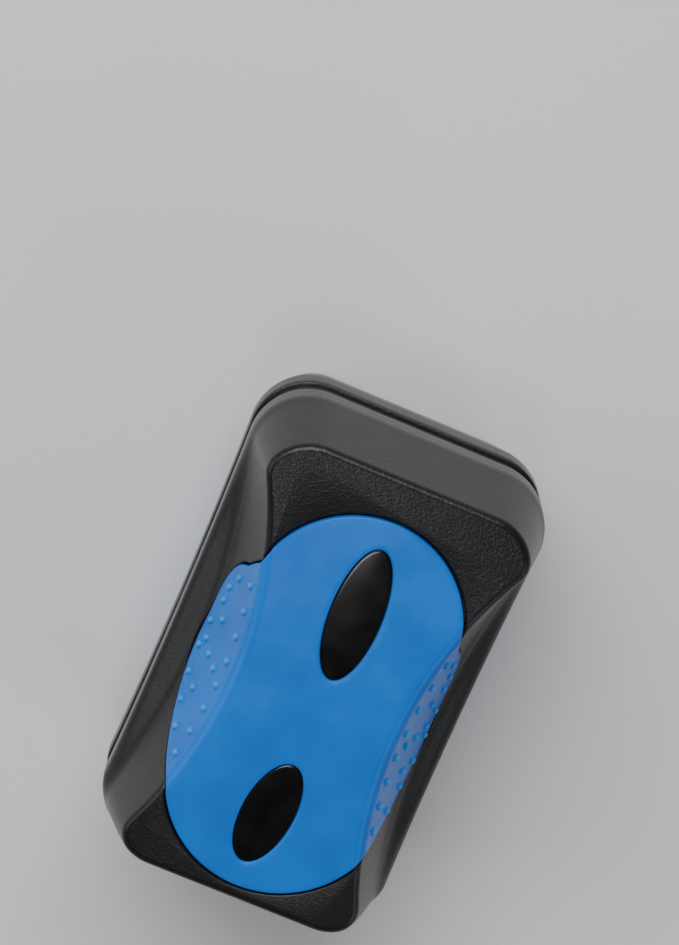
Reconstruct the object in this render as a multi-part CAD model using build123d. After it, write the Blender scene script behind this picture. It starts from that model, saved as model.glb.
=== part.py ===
"""Magnetic aquarium glass cleaner: a dry outer half and a floating wet half that grip a pane of glass.

Millimetres, +Z up. The origin is the middle of the contact plane between the two wiping pads.
The outer half lies above that plane, the floating inner half is its mirror image below it.
X runs across the cleaner, Y along it, and +Y is the end that has the large oval inlay.
"""
import os
from math import cos, pi, radians, sin

from build123d import *

# Outline of one half: flat skirt, ledge above it, and the top face
HALF_HEIGHT = 31.0
PAD_THICKNESS = 3.0
BASE_LENGTH = 98.0
BASE_WIDTH = 61.2
BASE_CORNER = 12.0
LEDGE_LENGTH = 96.8
LEDGE_WIDTH = 59.6
LEDGE_CORNER = 11.5
FACE_LENGTH = 89.6
FACE_WIDTH = 54.4
FACE_CORNER = 10.0
SKIRT_TOP = 9.5
LEDGE_TOP = 12.5
EDGE_RADIUS = 1.2
EDGE_STEPS = 3

# Finger scoops: half widths at the waist, the scoop's half length, and the rounding where it runs out
WAIST_Y = -3.5
SKIRT_WAIST = 29.9
LEDGE_WAIST = 24.6
FACE_WAIST = 16.6
SCOOP_REACH = 41.0
WAIST_BLEND = 5.0
LEAST_BLEND = 0.6

# Soft grip cover: its two round ends, and the arc that bounds each thumb panel
BIG_END_Y = 15.4
BIG_END_RADIUS = 21.0
SMALL_END_Y = -20.0
SMALL_END_RADIUS = 22.0
SIDE_PANEL_RADIUS = 24.5
SIDE_PANEL_DEPTH = 17.6
SIDE_PANEL_Y = -4.0
SHOULDER_RADIUS = 8.3
SHOULDER_DEPTH = 6.6
SHOULDER_Y = 7.3
WRAP_DEPTH = 3.6
COVER_PROUD = 0.5
COVER_SUNK = 1.9
GROOVE = 0.35

# Raised dots on the thumb panels
DOT_RADIUS = 0.8
DOT_SUNK = 0.15
# Straight rows: count, pitch, middle along Y, and depth below the top face
DOT_ROWS = ((8, 5.2, -4.5, 3.4), (1, 0.0, -5.3, 6.9), (3, 7.4, -4.1, 10.6), (1, 0.0, -2.2, 13.8))
ARC_ROW_COUNT = 6
ARC_ROW_START = -44.5
ARC_ROW_STEP = 14.5
ARC_ROW_INSET = 2.2
SHOULDER_TURNS = (22.0, 65.0)
SHOULDER_INSET = 2.4

# Oval inlays: centre along Y, half length, and turn in degrees
LARGE_OVAL = (17.1, 13.7, 2.0)
SMALL_OVAL = (-26.0, 10.9, -5.0)
OVAL_HALF_WIDTH = 5.1
INLAY_SUNK = 0.25
STEM_RADIUS = 1.6
STEM_DEPTH = 1.4

# Shell wall and running clearance
WALL = 4.0
FIT = 0.1

# Base plate, magnets, yoke plate, foam and seal
PLATE_THICKNESS = 2.0
PLATE_INSET = 2.0
PLATE_TOP = PAD_THICKNESS + PLATE_THICKNESS
MAGNET_LENGTH = 36.0
MAGNET_WIDTH = 36.0
MAGNET_THICKNESS = 8.0
MAGNET_GAP = 1.0
MAGNET_CHAMFER = 0.5
YOKE_THICKNESS = 1.5
YOKE_CORNER = 2.0
FOAM_GAP = 0.4
SEAL_INSET = 0.5
SEAL_BAND = 1.2
SEAL_THICKNESS = 1.0

# Screws that hold the base plate, and the posts that they go into
SCREW_X = 22.0
SCREW_Y = 39.5
SCREW_RADIUS = 1.3
SCREW_LENGTH = 8.0
BORE_SPARE = 0.5
HEAD_RADIUS = 2.5
HEAD_HEIGHT = 1.3
SLOT_LENGTH = 2.4
SLOT_WIDTH = 0.5
SLOT_DEPTH = 0.7
POST_RADIUS = 3.2
POST_TOP = 13.5

# Pads
ADHESIVE = 0.3
PAD_INSET = 1.0

BIG = 100.0
SAME_PLACE = 1e-3
STAND = (Align.CENTER, Align.CENTER, Align.MIN)


def outline(z, inset, width, length, corner, waist):
    """A rounded rectangle at height z, a shallow arc scooped out of each long side, all moved in by inset."""
    half_width = width / 2 - inset
    waist = waist - inset
    depth = half_width - waist
    radius = (SCOOP_REACH**2 + depth**2) / (2 * depth)
    shape = RectangleRounded(2 * half_width, length - 2 * inset, corner - inset)
    plain = [Vector(v) for v in shape.vertices()]
    for side in (-1, 1):
        shape -= Pos(side * (waist + radius), WAIST_Y) * Circle(radius)
    sharp = [v for v in shape.vertices() if min((Vector(v) - p).length for p in plain) > SAME_PLACE]
    return Pos(0, 0, z) * fillet(sharp, max(WAIST_BLEND - inset, LEAST_BLEND))


def wall_sizes(z):
    """Width, length, corner radius and waist of the tapered wall above the ledge, at height z."""
    share = (z - LEDGE_TOP) / (HALF_HEIGHT - LEDGE_TOP)
    ledge = (LEDGE_WIDTH, LEDGE_LENGTH, LEDGE_CORNER, LEDGE_WAIST)
    face = (FACE_WIDTH, FACE_LENGTH, FACE_CORNER, FACE_WAIST)
    return [low * (1 - share) + high * share for low, high in zip(ledge, face)]


def body_form(grow, edge_steps=EDGE_STEPS):
    """The outside form of one half, every wall moved outwards by grow (inwards where it is negative).

    The rim of its top face is rounded in edge_steps, and it is sharp where that is 0.
    """
    top = HALF_HEIGHT + grow
    skirt = (BASE_WIDTH, BASE_LENGTH, BASE_CORNER, SKIRT_WAIST)
    sections = [
        outline(PAD_THICKNESS, -grow, *skirt),
        outline(SKIRT_TOP, -grow, *skirt),
        outline(LEDGE_TOP, -grow, *wall_sizes(LEDGE_TOP)),
    ]
    if edge_steps == 0:
        sections.append(outline(top, -grow, *wall_sizes(top)))
        return loft(sections, ruled=True)
    for step in range(edge_steps + 1):
        turn = pi / 2 * step / edge_steps
        z = top - EDGE_RADIUS * (1 - sin(turn))
        sections.append(outline(z, EDGE_RADIUS * (1 - cos(turn)) - grow, *wall_sizes(z)))
    return loft(sections, ruled=True)


def capsule(grow):
    """Upright prism over the cover's outline from above: two round ends and the block between them."""
    middle = (BIG_END_Y + SMALL_END_Y) / 2
    width = 2 * (BIG_END_RADIUS + grow)
    shape = Pos(0, BIG_END_Y) * Circle(BIG_END_RADIUS + grow)
    shape += Pos(0, SMALL_END_Y) * Circle(SMALL_END_RADIUS + grow)
    shape += Pos(0, middle) * Rectangle(width, BIG_END_Y - SMALL_END_Y)
    floor = HALF_HEIGHT - WRAP_DEPTH - grow
    return Pos(0, 0, floor) * extrude(shape, HALF_HEIGHT)


def side_disc(grow):
    """What bounds the thumb panels: a large disc on its edge, right across the cleaner, and a small one
    that fills out their shoulder."""
    on_edge = (0, 90, 0)
    across = 2 * BASE_WIDTH
    centre_z = HALF_HEIGHT - SIDE_PANEL_DEPTH + SIDE_PANEL_RADIUS
    large = Pos(0, SIDE_PANEL_Y, centre_z) * Cylinder(SIDE_PANEL_RADIUS + grow, across, rotation=on_edge)
    shoulder_z = HALF_HEIGHT - SHOULDER_DEPTH
    small = Pos(0, SHOULDER_Y, shoulder_z) * Cylinder(SHOULDER_RADIUS + grow, across, rotation=on_edge)
    return large + small


def oval(size, grow, bottom, top):
    """An upright oval plug between two heights; size is its centre along Y, half length and turn."""
    centre_y, half_length, turn = size
    shape = Rot(0, 0, turn) * Ellipse(OVAL_HALF_WIDTH + grow, half_length + grow)
    return Pos(0, centre_y, bottom) * extrude(shape, top - bottom)


def panel_dots():
    """Raised dots on both thumb panels: straight rows, a row along the large arc, and two on the shoulder."""
    places = []
    for count, pitch, middle, depth in DOT_ROWS:
        for i in range(count):
            places.append((middle + (i - (count - 1) / 2) * pitch, HALF_HEIGHT - depth))
    centre_z = HALF_HEIGHT - SIDE_PANEL_DEPTH + SIDE_PANEL_RADIUS
    reach = SIDE_PANEL_RADIUS - ARC_ROW_INSET
    for i in range(ARC_ROW_COUNT):
        turn = radians(ARC_ROW_START + i * ARC_ROW_STEP)
        places.append((SIDE_PANEL_Y + reach * sin(turn), centre_z - reach * cos(turn)))
    reach = SHOULDER_RADIUS - SHOULDER_INSET
    for degrees in SHOULDER_TURNS:
        turn = radians(degrees)
        y = SHOULDER_Y + reach * sin(turn)
        places.append((y, HALF_HEIGHT - SHOULDER_DEPTH - reach * cos(turn)))
    return places


def wall_half_width(y, z):
    """Half width of the scooped side wall of the cover at a place on it."""
    width, _, _, waist = wall_sizes(z)
    depth = width / 2 - waist
    radius = (SCOOP_REACH**2 + depth**2) / (2 * depth)
    return waist + radius - (radius**2 - (y - WAIST_Y) ** 2) ** 0.5 + COVER_PROUD


def make_cover(outer):
    """The soft grip cover: a skin over the top that wraps down into both finger scoops."""
    skin = outer - body_form(-COVER_SUNK)
    cover = skin & (capsule(0) + side_disc(0))
    for size in (LARGE_OVAL, SMALL_OVAL):
        cover -= oval(size, 0, 0, BIG)
    dots = []
    for y, z in panel_dots():
        for side in (-1, 1):
            x = side * (wall_half_width(y, z) - DOT_SUNK)
            dots.append(Pos(x, y, z) * Sphere(DOT_RADIUS, rotation=(0, 90 * side, 0)))
    return cover + dots


def make_inlay(size):
    """A smooth oval plug that fills a window in the cover and is pinned into the housing."""
    floor = HALF_HEIGHT - COVER_SUNK
    centre_y, half_length, turn = size
    plug = oval(size, -FIT, floor, HALF_HEIGHT + COVER_PROUD - INLAY_SUNK)
    reach = half_length / 2
    for side in (-1, 1):
        x = -side * reach * sin(radians(turn))
        y = centre_y + side * reach * cos(radians(turn))
        plug += Pos(x, y, floor - STEM_DEPTH / 2) * Cylinder(STEM_RADIUS, STEM_DEPTH)
    return plug


def corner_places():
    """The four places of the screws."""
    return [(x, y) for x in (-SCREW_X, SCREW_X) for y in (-SCREW_Y, SCREW_Y)]


def make_housing(inlays):
    """The hollow shell, open at the pad side, with the cover's recess and four screw posts."""
    form = body_form(0)
    recess = (body_form(2 * COVER_PROUD) - body_form(-COVER_SUNK)) & (capsule(GROOVE) + side_disc(GROOVE))
    shell = form - recess - body_form(-WALL, 0)
    shell -= plate_form(FIT)
    for x, y in corner_places():
        post = Pos(x, y, (PLATE_TOP + POST_TOP) / 2) * Cylinder(POST_RADIUS, POST_TOP - PLATE_TOP)
        shell += post & form
        bore_depth = SCREW_LENGTH - PLATE_THICKNESS + BORE_SPARE
        shell -= Pos(x, y, PLATE_TOP) * Cylinder(SCREW_RADIUS, 2 * bore_depth)
    for inlay in inlays:
        shell -= inlay
    return shell


def plate_form(grow):
    """The base plate's blank, let into the open side of the shell."""
    width = BASE_WIDTH - 2 * PLATE_INSET + 2 * grow
    length = BASE_LENGTH - 2 * PLATE_INSET + 2 * grow
    blank = extrude(RectangleRounded(width, length, BASE_CORNER - PLATE_INSET + grow), PLATE_THICKNESS)
    return Pos(0, 0, PAD_THICKNESS) * blank


def make_screws():
    """Four countersunk screws as separate solids, each with a cross slot."""
    screws = []
    slot = Box(SLOT_LENGTH, SLOT_WIDTH, 2 * SLOT_DEPTH) + Box(SLOT_WIDTH, SLOT_LENGTH, 2 * SLOT_DEPTH)
    for x, y in corner_places():
        head = Cone(HEAD_RADIUS, SCREW_RADIUS - FIT, HEAD_HEIGHT, align=STAND)
        shank = Cylinder(SCREW_RADIUS - FIT, SCREW_LENGTH, align=STAND)
        screws.append(Pos(x, y, PAD_THICKNESS) * (head + shank - slot))
    return screws


def make_plate(sealed):
    """The base plate, with a countersunk hole at each corner and, if sealed, a groove for the seal."""
    plate = plate_form(0)
    if sealed:
        plate -= make_seal()
    sink = Cone(HEAD_RADIUS + FIT, SCREW_RADIUS, HEAD_HEIGHT + FIT, align=STAND)
    for x, y in corner_places():
        plate -= Pos(x, y, PAD_THICKNESS) * sink
        plate -= Pos(x, y, PAD_THICKNESS) * Cylinder(SCREW_RADIUS, 2 * PLATE_THICKNESS)
    return plate


def make_magnet(side):
    """One ferrite block of the pair that stands end to end on the base plate."""
    y = side * (MAGNET_LENGTH + MAGNET_GAP) / 2
    block = Box(MAGNET_WIDTH, MAGNET_LENGTH, MAGNET_THICKNESS)
    block = chamfer(block.edges(), MAGNET_CHAMFER)
    return Pos(0, y, PLATE_TOP + MAGNET_THICKNESS / 2) * block


def make_yoke():
    """The steel plate over both magnets that closes their field on the far side of the pads."""
    length = 2 * MAGNET_LENGTH + MAGNET_GAP
    blank = extrude(RectangleRounded(MAGNET_WIDTH, length, YOKE_CORNER), YOKE_THICKNESS)
    return Pos(0, 0, PLATE_TOP + MAGNET_THICKNESS) * blank


def make_filler():
    """The foam block that fills the shell above the yoke plate."""
    floor = PLATE_TOP + MAGNET_THICKNESS + YOKE_THICKNESS
    return split(body_form(-WALL - FOAM_GAP, 0), Plane.XY.offset(floor), keep=Keep.TOP)


def make_seal():
    """The rubber ring in the base plate's rim groove, pressed against the shell's shoulder."""
    inset = PLATE_INSET + SEAL_INSET
    outside = RectangleRounded(BASE_WIDTH - 2 * inset, BASE_LENGTH - 2 * inset, BASE_CORNER - inset)
    inset += SEAL_BAND
    inside = RectangleRounded(BASE_WIDTH - 2 * inset, BASE_LENGTH - 2 * inset, BASE_CORNER - inset)
    return Pos(0, 0, PLATE_TOP - SEAL_THICKNESS) * extrude(outside - inside, SEAL_THICKNESS)


def make_sheet(inset, bottom, top):
    """A flat sheet with the base's rounded outline, between two heights."""
    shape = RectangleRounded(BASE_WIDTH - 2 * inset, BASE_LENGTH - 2 * inset, BASE_CORNER - inset)
    return Pos(0, 0, bottom) * extrude(shape, top - bottom)


def save(name, shape):
    """Write one node; every solid in it stays separate."""
    solids = shape if isinstance(shape, list) else shape.solids()
    whole = solids[0] if len(solids) == 1 else Compound(children=list(solids))
    export_step(whole, f"parts/{name}.step")
    volume = sum(solid.volume for solid in solids)
    print(f"{name}: {len(solids)} solid(s), {volume:.0f} mm3")


def turned_over(shape):
    """The mirror image below the pads' contact plane, which is the floating half's place."""
    if isinstance(shape, list):
        return [mirror(one, Plane.XY) for one in shape]
    return mirror(shape, Plane.XY)


def build():
    """Make each piece once, then write the dry half and its mirror image, the floating half."""
    inlays = [make_inlay(LARGE_OVAL), make_inlay(SMALL_OVAL)]
    shared = {
        "housing": make_housing(inlays),
        "grip_cover": make_cover(body_form(COVER_PROUD)),
        "large_oval_inlay": inlays[0],
        "small_oval_inlay": inlays[1],
        "base_screws": make_screws(),
        "magnet_front": make_magnet(1),
        "magnet_rear": make_magnet(-1),
        "yoke_plate": make_yoke(),
        "pad_adhesive": make_sheet(PAD_INSET, PAD_THICKNESS - ADHESIVE, PAD_THICKNESS),
    }
    for name, shape in shared.items():
        save(f"outer_{name}", shape)
        save(f"inner_{name}", turned_over(shape))
    pad = make_sheet(PAD_INSET, 0, PAD_THICKNESS - ADHESIVE)
    filler = make_filler()
    save("outer_base_plate", make_plate(False))
    save("inner_base_plate", turned_over(make_plate(True)))
    save("outer_felt_pad", pad)
    save("inner_scrub_pad", turned_over(pad))
    save("outer_foam_spacer", filler)
    save("inner_float_foam", turned_over(filler))
    save("inner_seal_ring", turned_over(make_seal()))


os.makedirs("parts", exist_ok=True)
build()
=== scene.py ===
"""Looks of the magnetic glass cleaner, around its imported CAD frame.

Shapes are worked out in millimetres for the dry outer half, whose pads' contact plane is z = 0.
The floating inner half is the same shapes turned over in that plane.
"""
import math

import bpy
import numpy as np
from mathutils import Matrix, Vector, noise
from mathutils.geometry import delaunay_2d_cdt


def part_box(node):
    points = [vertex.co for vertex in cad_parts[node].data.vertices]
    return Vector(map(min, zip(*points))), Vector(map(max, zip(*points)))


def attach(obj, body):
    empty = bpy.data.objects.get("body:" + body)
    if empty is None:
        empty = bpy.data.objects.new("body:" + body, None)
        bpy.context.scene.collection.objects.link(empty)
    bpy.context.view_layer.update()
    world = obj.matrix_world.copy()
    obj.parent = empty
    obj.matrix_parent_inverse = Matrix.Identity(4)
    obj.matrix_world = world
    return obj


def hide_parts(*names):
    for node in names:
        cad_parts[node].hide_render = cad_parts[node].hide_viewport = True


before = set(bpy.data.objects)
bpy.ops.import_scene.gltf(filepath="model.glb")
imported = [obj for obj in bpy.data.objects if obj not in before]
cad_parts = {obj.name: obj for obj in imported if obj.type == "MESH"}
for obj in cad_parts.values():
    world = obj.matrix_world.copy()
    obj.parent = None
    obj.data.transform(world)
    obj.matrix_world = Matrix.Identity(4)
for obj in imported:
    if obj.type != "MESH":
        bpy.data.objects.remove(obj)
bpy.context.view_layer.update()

MM = 0.001
HALVES = ("outer", "inner")

# Levels and outside size, from the frame
HOUSING_LOW, HOUSING_HIGH = (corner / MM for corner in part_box("outer_housing"))
COVER_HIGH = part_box("outer_grip_cover")[1] / MM
PLATE_LOW, PLATE_HIGH = (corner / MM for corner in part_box("outer_base_plate"))
FELT_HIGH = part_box("outer_felt_pad")[1] / MM
FLOOR_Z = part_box("inner_grip_cover")[0].z
RIM_Z = HOUSING_LOW.z
TOP_Z = HOUSING_HIGH.z
BASE_LENGTH = HOUSING_HIGH.y - HOUSING_LOW.y

# The wall: width, length, corner radius and waist at the skirt, the ledge and the top face
SKIRT = (61.2, BASE_LENGTH, 12.0, 29.9)
LEDGE = (59.6, 96.8, 11.5, 24.6)
FACE = (54.4, 89.6, 10.0, 16.6)
SKIRT_Z = 9.5
LEDGE_Z = 12.5
WAIST_Y = -3.5
SCOOP_REACH = 41.0
SHELL_WALL = 4.0
PLATE_CORNER = 10.0
FIT = 0.1

# Roundings: where a scoop runs out, the skirt's and ledge's edges, the top's rim, and the open mouth
BLEND = 5.0
LEAST_BLEND = 0.6
BAND_EASE = 1.1
RIM_RADIUS = 1.2
MOUTH_EDGE = 0.5
MOUTH_BEVEL = 0.15
# The heights between which the skirt's and ledge's edges lie, and how close the outlines are there
BAND_LOW, BAND_HIGH, BAND_STEP = 8.0, 15.0, 0.3

# Points of an outline: along half of an end, round a corner, round a blend, and along a scoop
END_STEPS, CORNER_STEPS, BLEND_STEPS, SCOOP_STEPS = 8, 14, 8, 60

# Grip cover: its outline from above, thumb panels, skin and edges
BIG_END_Y, BIG_END_RADIUS = 15.4, 21.0
SMALL_END_Y, SMALL_END_RADIUS = -20.0, 22.0
PANEL_Y, PANEL_RADIUS, PANEL_DEPTH = -4.0, 24.5, 17.6
SHOULDER_Y, SHOULDER_RADIUS, SHOULDER_DEPTH = 7.3, 8.3, 6.6
SHOULDER_BLEND = 5.0
PROUD = COVER_HIGH.z - TOP_Z
SUNK = 1.9
GROOVE = 0.35
LIP = 0.55
LIP_SPARE = 0.02
COVER_EDGE = 0.45
WINDOW_EDGE = 0.45
WINDOW_PITCH = 0.35
# The widest half of the outline from above that is looked up on the surface
PLAN_LIMIT = 20.8
BOUNDARY_STEPS, BOUNDARY_PITCH, BOUNDARY_EASE = 900, 0.3, 8
COVER_PITCH = 0.75
CUTTER_PITCH = 1.2
# How far a cutter stands out above the surface that it cuts
CUTTER_PROUD = 1.0
# The surface's table: steps round its rim, and down its wall
RIM_STEPS, WALL_STEPS = 28, 40

# Oval windows: centre along Y, half length, turn in degrees. Inlays: how deep, soft and crowned they are
OVALS = {"large": (17.1, 13.7, 2.0), "small": (-26.0, 10.9, -5.0)}
OVAL_HALF_WIDTH = 5.1
INLAY_SUNK = 0.3
INLAY_EDGE = 0.15
INLAY_CROWN = 0.03
INLAY_REACH = 4.7

# Raised dots on the thumb panels. Straight rows: count, pitch, middle along Y, depth below the top face.
# A dot's profile: distance from its middle, and height there
DOT_ROWS = ((8, 5.2, -4.5, 3.4), (1, 0.0, -5.3, 6.9), (3, 7.4, -4.1, 10.6), (1, 0.0, -2.2, 13.8))
ARC_ROW_COUNT, ARC_ROW_START, ARC_ROW_STEP, ARC_ROW_INSET = 6, -44.5, 14.5, 2.2
SHOULDER_TURNS, SHOULDER_INSET = (22.0, 65.0), 2.4
DOT_PROFILE = ((1.0, 0.0), (0.88, 0.04), (0.8, 0.15), (0.73, 0.3), (0.62, 0.44), (0.46, 0.56), (0.25, 0.63))
DOT_HEIGHT = 0.65
DOT_SIDES = 20
DOT_CLEARANCE = 0.2

# Pads: corner, felt fibres, and the scrub pad's backing and hooks
PAD_CORNER = 11.0
PAD_BEVEL = 0.15
FIBRE_COUNT, FIBRE_BENDS, FIBRE_REACH, FIBRE_RADIUS = 4200, 3, 0.75, 0.028
BACKING_LOW = 1.35
HOOK_PITCH, HOOK_BEND, HOOK_RADIUS = 1.25, 0.34, 0.11
HOOK_MARGIN, HOOK_CORNER = 0.8, 10.0

# Foam blocks: their nodes, gap to the shell's inside, and the softness of their edges
FOAM_NODES = {"outer": "outer_foam_spacer", "inner": "inner_float_foam"}
FOAM_GAP = 0.4
FOAM_EDGE = 0.8


# ---- mesh helpers

def mesh_piece(name, points, faces, half, in_place=False):
    """An object from points in millimetres. The inner half's is turned over, unless it was made in place."""
    points = np.asarray(points, float)
    if half == "inner" and not in_place:
        points = points * (1, 1, -1)
        faces = [tuple(reversed(face)) for face in faces]
    mesh = bpy.data.meshes.new(name)
    mesh.from_pydata((points * MM).tolist(), [], [tuple(int(i) for i in face) for face in faces])
    mesh.update()
    piece = bpy.data.objects.new(name, mesh)
    bpy.context.scene.collection.objects.link(piece)
    return piece


def finish_piece(piece, half, slot, replaced, angle):
    """Gives a piece its material and its body, and hides the CAD nodes it stands for; edges past the angle
    stay crisp.
    """
    piece.data.shade_smooth()
    piece.data.set_sharp_from_angle(angle=math.radians(angle))
    piece.data.materials.clear()
    piece.data.materials.append(FINISHES[slot])
    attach(piece, f"{half}_half")
    if replaced:
        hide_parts(*replaced)


def bridge(low, high, count):
    """Quads between two closed rings with count points each, given their first indices."""
    faces = []
    for i in range(count):
        j = (i + 1) % count
        faces.append((low + i, low + j, high + j, high + i))
    return faces


def ring_solid(rings):
    """A closed solid through a stack of closed rings, capped flat at both ends."""
    count = len(rings[0])
    points = [point for ring in rings for point in ring]
    faces = [tuple(reversed(range(count)))]
    for k in range(len(rings) - 1):
        faces += bridge(k * count, (k + 1) * count, count)
    faces.append(tuple(range((len(rings) - 1) * count, len(rings) * count)))
    return points, faces


def joined(parts):
    """Several point and face lists as one."""
    points, faces = [], []
    for more_points, more_faces in parts:
        start = len(points)
        points += [tuple(point) for point in more_points]
        faces += [tuple(start + i for i in face) for face in more_faces]
    return points, faces


# ---- the body's outside form

def wall_sizes(z):
    """Width, length, corner radius and waist at height z, with the skirt and ledge edges softened."""
    mixed = np.zeros(len(SKIRT))
    steps = np.linspace(-BAND_EASE, BAND_EASE, 9) if z < LEDGE_Z + 3 else [0.0]
    for step in steps:
        level = z + step
        if level <= SKIRT_Z:
            sizes = SKIRT
        elif level <= LEDGE_Z:
            share = (level - SKIRT_Z) / (LEDGE_Z - SKIRT_Z)
            sizes = np.array(SKIRT) * (1 - share) + np.array(LEDGE) * share
        else:
            share = (level - LEDGE_Z) / (TOP_Z - LEDGE_Z)
            sizes = np.array(LEDGE) * (1 - share) + np.array(FACE) * share
        mixed += np.asarray(sizes) / len(steps)
    return mixed


def arc(centre, radius, start, end, count):
    """Points along an arc from one angle to another, without its last one."""
    return [
        (centre[0] + radius * math.cos(a), centre[1] + radius * math.sin(a))
        for a in np.linspace(start, end, count + 1)[:-1]
    ]


def blend_centre(corner, corner_radius, scoop, scoop_radius, blend, upper):
    """Centre of the small arc that runs from a corner's arc into the scoop's arc."""
    first, second = Vector(corner), Vector(scoop)
    r1, r2 = corner_radius - blend, scoop_radius + blend
    gap = (second - first).length
    forward = (r1**2 - r2**2 + gap**2) / (2 * gap)
    across = math.sqrt(max(r1**2 - forward**2, 0))
    way = (second - first) / gap
    side = Vector((-way.y, way.x)) if upper else Vector((way.y, -way.x))
    return first + way * forward + side * across


def closed_by_mirror(side, half_length, z):
    """A closed outline at height z from its right side, which runs from the +Y end to the -Y end."""
    side = side + [(0.0, -half_length)]
    mirrored = [(-x, y) for x, y in reversed(side[1:-1])]
    return [(x, y, z) for x, y in side + mirrored]


def outline(z, inset):
    """The body's closed outline at height z, moved in by inset, always with the same count of points."""
    width, length, corner, waist = wall_sizes(z)
    half_width, half_length = width / 2 - inset, length / 2 - inset
    radius, waist = corner - inset, waist - inset
    depth = half_width - waist
    scoop_radius = (SCOOP_REACH**2 + depth**2) / (2 * depth)
    scoop = (waist + scoop_radius, WAIST_Y)
    blend = max(BLEND - inset, LEAST_BLEND)
    angles = []
    for sign in (1, -1):
        corner_centre = (half_width - radius, sign * (half_length - radius))
        middle = blend_centre(corner_centre, radius, scoop, scoop_radius, blend, sign > 0)
        outwards = Vector(middle) - Vector(corner_centre)
        inwards = Vector(middle) - Vector(scoop)
        angles.append((
            corner_centre,
            (middle.x, middle.y),
            math.atan2(outwards.y, outwards.x),
            math.atan2(inwards.y, inwards.x) % (2 * math.pi),
        ))
    (top_corner, top_blend, top_out, top_in), (low_corner, low_blend, low_out, low_in) = angles
    half_end = half_width - radius
    side = [(x, half_length) for x in np.linspace(0, half_end, END_STEPS + 1)[:-1]]
    side += arc(top_corner, radius, math.pi / 2, top_out, CORNER_STEPS)
    side += arc(top_blend, blend, top_out, top_in - math.pi, BLEND_STEPS)
    side += arc(scoop, scoop_radius, top_in, low_in, SCOOP_STEPS)
    side += arc(low_blend, blend, low_in - math.pi, low_out, BLEND_STEPS)
    side += arc(low_corner, radius, low_out, -math.pi / 2, CORNER_STEPS)
    side += [(x, -half_length) for x in np.linspace(half_end, 0, END_STEPS + 1)[:-1]]
    return closed_by_mirror(side, half_length, z)


def plain_outline(width, length, corner, z):
    """A plain rounded rectangle with as many points as the body's outline."""
    half_width, half_length = width / 2, length / 2
    corner_x, corner_y = half_width - corner, half_length - corner
    round_steps = CORNER_STEPS + BLEND_STEPS // 2
    long_steps = SCOOP_STEPS + BLEND_STEPS
    side = [(x, half_length) for x in np.linspace(0, corner_x, END_STEPS + 1)[:-1]]
    side += arc((corner_x, corner_y), corner, math.pi / 2, 0, round_steps)
    side += [(half_width, y) for y in np.linspace(corner_y, -corner_y, long_steps + 1)[:-1]]
    side += arc((corner_x, -corner_y), corner, 0, -math.pi / 2, round_steps)
    side += [(x, -half_length) for x in np.linspace(corner_x, 0, END_STEPS + 1)[:-1]]
    return closed_by_mirror(side, half_length, z)


def make_housing_form():
    """The hollow shell without its recess: inside ceiling, inside wall, mouth, outside wall, top face."""
    ceiling = TOP_Z - SHELL_WALL
    shoulder = PLATE_HIGH.z
    size = PLATE_HIGH - PLATE_LOW
    plate = (size.x + 2 * FIT, size.y + 2 * FIT, PLATE_CORNER + FIT)
    rings = [outline(z, SHELL_WALL) for z in np.linspace(ceiling, shoulder, 24)]
    rings.append(plain_outline(*plate, shoulder))
    rings.append(plain_outline(*plate, RIM_Z))
    rings.append([(x, y, RIM_Z) for x, y, _ in outline(RIM_Z, MOUTH_EDGE)])
    rings.append([(x, y, RIM_Z + MOUTH_BEVEL) for x, y, _ in outline(RIM_Z, MOUTH_BEVEL)])
    levels = [RIM_Z + MOUTH_EDGE, *np.arange(5.0, BAND_LOW), *np.arange(BAND_LOW, BAND_HIGH, BAND_STEP)]
    levels += list(np.linspace(BAND_HIGH + 0.2, TOP_Z - RIM_RADIUS - 0.5, 10))
    rings += [outline(z, 0.0) for z in levels]
    for turn in np.linspace(0, math.pi / 2, 13):
        z = TOP_Z - RIM_RADIUS * (1 - math.sin(turn))
        rings.append(outline(z, RIM_RADIUS * (1 - math.cos(turn))))
    rings.append(outline(TOP_Z, RIM_RADIUS + 0.4))
    return ring_solid([ring[::-1] for ring in rings])


# ---- the skin that the grip cover follows

def section_table(ys):
    """For each y: distance s from the middle along the cover's surface, and x and z there."""
    ys = np.asarray(ys, float)
    top = TOP_Z + PROUD
    rim = RIM_RADIUS + PROUD
    turns = np.linspace(0, math.pi / 2, RIM_STEPS)
    wall = np.linspace(top - rim - 0.3, LEDGE_Z - 2, WALL_STEPS)
    levels = np.concatenate([top - rim + rim * np.cos(turns), wall])
    insets = np.concatenate([rim * (1 - np.sin(turns)), np.zeros(WALL_STEPS)])
    share = (levels - LEDGE_Z) / (TOP_Z - LEDGE_Z)
    width = LEDGE[0] * (1 - share) + FACE[0] * share
    waist = LEDGE[3] * (1 - share) + FACE[3] * share
    depth = width / 2 - waist
    radius = (SCOOP_REACH**2 + depth**2) / (2 * depth)
    away = np.minimum(np.abs(ys - WAIST_Y), SCOOP_REACH)[:, None]
    x = waist + radius - np.sqrt(radius**2 - away**2) - insets + PROUD
    z = np.repeat(levels[None, :], len(ys), axis=0)
    middle = np.zeros((len(ys), 1))
    x = np.concatenate([middle, x], axis=1)
    z = np.concatenate([middle + top, z], axis=1)
    s = np.concatenate([middle, np.cumsum(np.hypot(np.diff(x), np.diff(z)), axis=1)], axis=1)
    return s, x, z


def along(table_from, table_to, wanted):
    """One wanted value looked up in each row of a pair of tables."""
    return np.array([np.interp(w, f, t) for w, f, t in zip(wanted, table_from, table_to)])


def at_depth(ys, depths):
    """Distance s along the surface at each y where it lies a depth below the housing's top."""
    table_s, _, table_z = section_table(ys)
    rising = table_z[:, ::-1] + np.linspace(0, 1e-6, table_z.shape[1])
    return along(rising, table_s[:, ::-1], TOP_Z - depths)


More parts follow.
